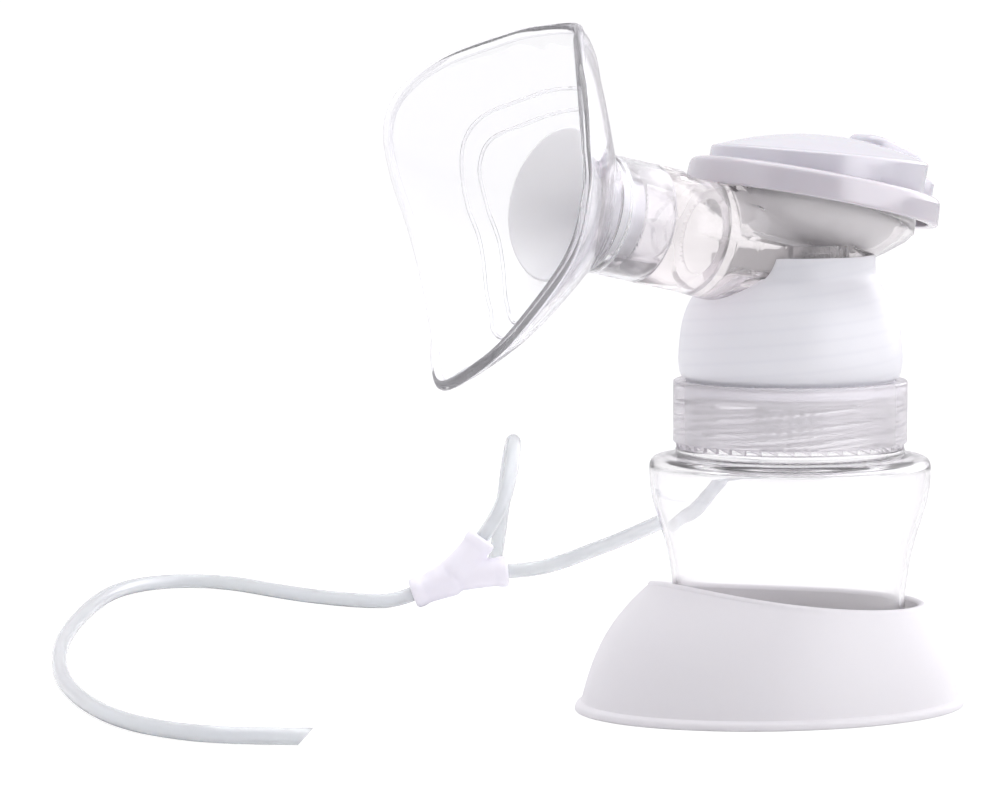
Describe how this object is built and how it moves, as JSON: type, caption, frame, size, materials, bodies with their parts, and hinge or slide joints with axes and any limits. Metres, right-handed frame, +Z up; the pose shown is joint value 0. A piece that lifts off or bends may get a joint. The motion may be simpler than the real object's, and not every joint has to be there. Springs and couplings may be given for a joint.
{
  "type": "breast pump",
  "caption": "Breast pump kit: clear funnel shield on a clear pump body with suction cap, screwed to a bottle in an oval stand, with silicone tubing and a Y connector.",
  "frame": {"origin": "on the bottle's axis, at the underside of the stand", "axes": "+Z up along the bottle's axis, the shield's arm points towards -X, and the kit is symmetric about Y = 0 apart from its tubing"},
  "size_m": [0.2807, 0.3962, 0.1864],
  "materials": {
    "frosted_stand": "frosted satin white",
    "clear_bottle": "clear gloss",
    "clear_collar": "hazy clear gloss",
    "clear_body": "clear gloss",
    "clear_shield": "clear gloss",
    "milky_plastic": "translucent milky satin",
    "milky_silicone": "translucent silicone",
    "gloss_white": "gloss white",
    "connector_white": "satin white",
    "tubing": "translucent silicone"
  },
  "bodies": {
    "bottle": {"bottle": "clear_bottle", "y_connector": "connector_white", "hose_main": "tubing", "hose_branch": "tubing"},
    "stand": {"stand": "frosted_stand"},
    "head": {"pump_body": "clear_body", "bottle_adapter": "milky_plastic", "bottle_gasket": "milky_silicone", "duckbill_valve": "milky_silicone", "cap_ring": "gloss_white", "cap_lid": "gloss_white", "hose_nipple": "gloss_white", "hose_head": "tubing"},
    "collar": {"screw_collar": "clear_collar"},
    "shield": {"breast_shield": "clear_shield", "shield_cushion": "milky_silicone"},
    "diaphragm": {"diaphragm": "milky_silicone"}
  },
  "joints": [
    {"name": "stand_swivel", "type": "hinge", "parent": "bottle", "child": "stand", "pos_m": [0, 0, 0], "axis": [0, 0, 1], "continuous": true},
    {"name": "head_lift", "type": "slide", "parent": "bottle", "child": "head", "axis": [0, 0, 1], "range_m": [0, 0.00887], "deforming": ["hose_head"]},
    {"name": "collar_turn", "type": "hinge", "parent": "head", "child": "collar", "pos_m": [0, 0, 0.08], "axis": [0, 0, 1], "range_deg": [0, 200]},
    {"name": "shield_swivel", "type": "hinge", "parent": "head", "child": "shield", "pos_m": [0, 0, 0.1224], "axis": [-0.9781, 0, 0.2079], "continuous": true},
    {"name": "diaphragm_pull", "type": "slide", "parent": "head", "child": "diaphragm", "axis": [0.2079, 0, 0.9781], "range_m": [0, 0.01], "stiffness_N_per_m": 200, "deforming": ["diaphragm"]}
  ],
  "couplings": [
    {"joint": "collar_turn", "follows": "head_lift", "rad_per_m": 392.7}
  ]
}
